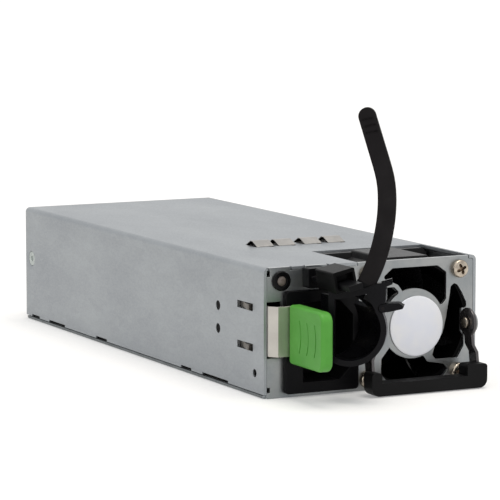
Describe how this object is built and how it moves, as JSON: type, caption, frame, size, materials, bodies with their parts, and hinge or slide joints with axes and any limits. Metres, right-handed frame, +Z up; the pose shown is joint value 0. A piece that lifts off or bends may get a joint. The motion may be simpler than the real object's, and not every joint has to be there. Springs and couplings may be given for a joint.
{
  "type": "hot swap server power supply",
  "caption": "Slim plug-in power supply with a fan guard, power inlet, bail handle, thumb latch, cord clamp and a rear card edge.",
  "frame": {"origin": "middle of the underside of the case", "axes": "+Y from the handle end to the rear contacts, +Z up, +X right as seen facing the handle"},
  "size_m": [0.0742, 0.2229, 0.088],
  "materials": {
    "galvanised_steel": "zinc-coated sheet, dull",
    "stainless_steel": "spring-hard, brushed",
    "plated_screw": "nickel plated",
    "dark_steel": "black nickel",
    "black_plastic": "moulded, fine texture",
    "fan_plastic": "moulded",
    "strap_nylon": "nylon",
    "green_plastic": "moulded",
    "label_film": "bare film",
    "light_lens": "frosted",
    "board_laminate": "solder mask",
    "gold": "gold plated",
    "nickel_blade": "nickel plated",
    "copper": "enamelled",
    "ferrite": "matt",
    "aluminium": "extruded",
    "can_sleeve": "sleeved can",
    "film_box": "moulded box",
    "relay_case": "moulded",
    "chip_epoxy": "epoxy",
    "glass": "clear",
    "insulating_film": "film",
    "white_nylon": "moulded",
    "wire_insulation": "extruded",
    "magnet": "bonded",
    "bearing_steel": "ground"
  },
  "bodies": {
    "case": {"case_cover": "galvanised_steel", "case_base": "galvanised_steel", "front_panel": "galvanised_steel", "rear_panel": "galvanised_steel", "side_screws": "plated_screw", "earth_spring_strip": "stainless_steel", "fan_frame": "fan_plastic", "fan_bearings": "bearing_steel", "fan_stator": "copper", "fan_screws": "plated_screw", "hub_label": "label_film", "inlet_housing": "black_plastic", "inlet_pins": "nickel_blade", "light_holder": "black_plastic", "light_lens": "light_lens", "light_board": "board_laminate", "latch_rivets": "plated_screw", "handle_rivets": "plated_screw", "clamp_rail": "black_plastic", "main_board": "board_laminate", "edge_contacts": "gold", "board_standoffs": "nickel_blade", "board_screws": "plated_screw", "insulating_sheet": "insulating_film", "bulk_capacitors": "can_sleeve", "boost_choke_core": "ferrite", "boost_choke_winding": "copper", "transformer_core": "ferrite", "transformer_winding": "copper", "common_mode_choke": "ferrite", "film_capacitor": "film_box", "fuse": "glass", "inrush_relay": "relay_case", "bridge_rectifier": "chip_epoxy", "primary_heat_sink": "aluminium", "secondary_heat_sink": "aluminium", "power_transistors": "chip_epoxy", "output_capacitors": "can_sleeve", "output_inductor": "ferrite", "control_card": "board_laminate", "fan_plug": "white_nylon", "fan_lead": "wire_insulation", "inlet_leads": "wire_insulation"},
    "handle": {"handle_arm_left": "dark_steel", "handle_arm_right": "dark_steel", "handle_grip": "black_plastic"},
    "latch": {"latch_spring": "stainless_steel", "latch_tab": "green_plastic"},
    "clamp": {"clamp_slider": "black_plastic", "clamp_strap": "strap_nylon", "clamp_lever_pin": "strap_nylon"},
    "thumb_lever": {"clamp_lever": "strap_nylon"},
    "fan_wheel": {"fan_rotor": "fan_plastic", "fan_shaft": "bearing_steel", "fan_magnet": "magnet"}
  },
  "joints": [
    {"name": "fan_spin", "type": "hinge", "parent": "case", "child": "fan_wheel", "pos_m": [0.0146, -0.0805, 0.0195], "axis": [0, 1, 0], "continuous": true},
    {"name": "handle_pivot", "type": "hinge", "parent": "case", "child": "handle", "pos_m": [0.014, -0.0975, 0.0194], "axis": [-1, 0, 0], "range_deg": [0, 85]},
    {"name": "latch_press", "type": "hinge", "parent": "case", "child": "latch", "pos_m": [-0.03565, -0.058, 0.0205], "axis": [0, 0, 1], "range_deg": [0, 2.5], "stiffness_Nm_per_rad": 0.6, "springref_deg": -2.86},
    {"name": "clamp_slide", "type": "slide", "parent": "case", "child": "clamp", "axis": [0, -1, 0], "range_m": [-0.005, 0.005]},
    {"name": "lever_press", "type": "hinge", "parent": "clamp", "child": "thumb_lever", "pos_m": [-0.00931, -0.11624, 0.029], "axis": [0.5736, 0.8192, 0], "range_deg": [0, 8], "stiffness_Nm_per_rad": 0.02, "springref_deg": -5.73}
  ]
}
